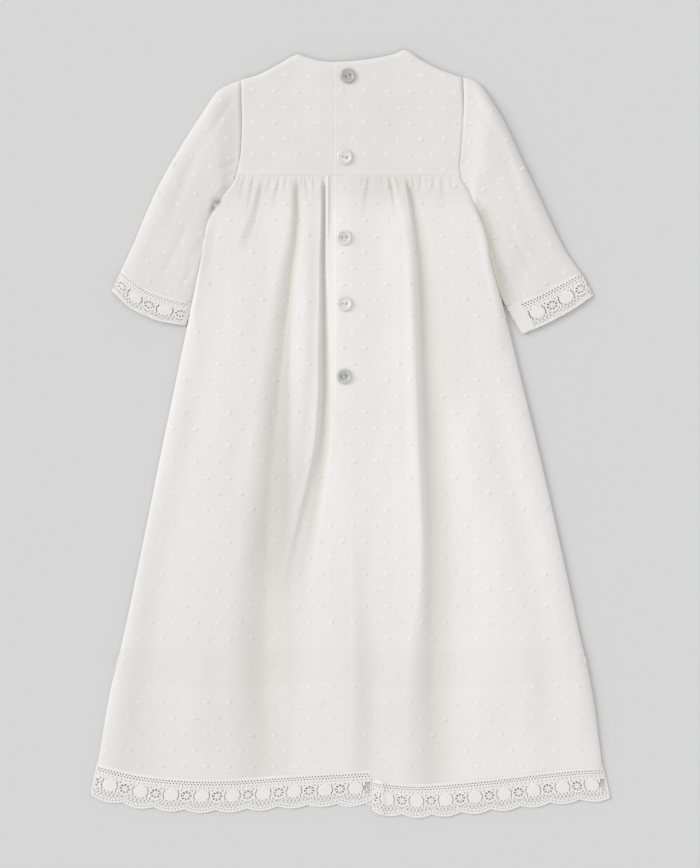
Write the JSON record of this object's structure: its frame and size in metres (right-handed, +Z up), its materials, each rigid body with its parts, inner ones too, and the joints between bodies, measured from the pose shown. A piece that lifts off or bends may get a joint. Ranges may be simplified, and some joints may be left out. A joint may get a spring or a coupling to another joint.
{
  "type": "christening gown",
  "caption": "Long baby's christening gown in dotted cotton, laid flat with its back up, with lace at the hem and cuffs and a buttoned back.",
  "frame": {"origin": "centre of the footprint, on the surface that the gown lies on", "axes": "+X towards the right of the view from above, +Y towards the neck, +Z up through the cloth"},
  "size_m": [0.4401, 0.6521, 0.0096],
  "materials": {
    "dotted_cotton": "matt off-white plumeti cotton with raised tufted dots",
    "lace": "matt ivory cotton bobbin lace",
    "button": "pearly silver-grey, polished"
  },
  "bodies": {
    "root": {"yoke_front": "dotted_cotton", "yoke_back_left": "dotted_cotton", "yoke_back_right": "dotted_cotton", "skirt_front": "dotted_cotton", "skirt_back_left": "dotted_cotton", "skirt_back_right": "dotted_cotton", "sleeve_left": "dotted_cotton", "sleeve_right": "dotted_cotton", "insertion_left": "lace", "insertion_right": "lace", "hem_lace_front": "lace", "hem_lace_back_left": "lace", "hem_lace_back_right": "lace", "cuff_lace_left": "lace", "cuff_lace_right": "lace", "button_1": "button", "button_2": "button", "button_3": "button", "button_4": "button", "button_5": "button"}
  },
  "joints": []
}
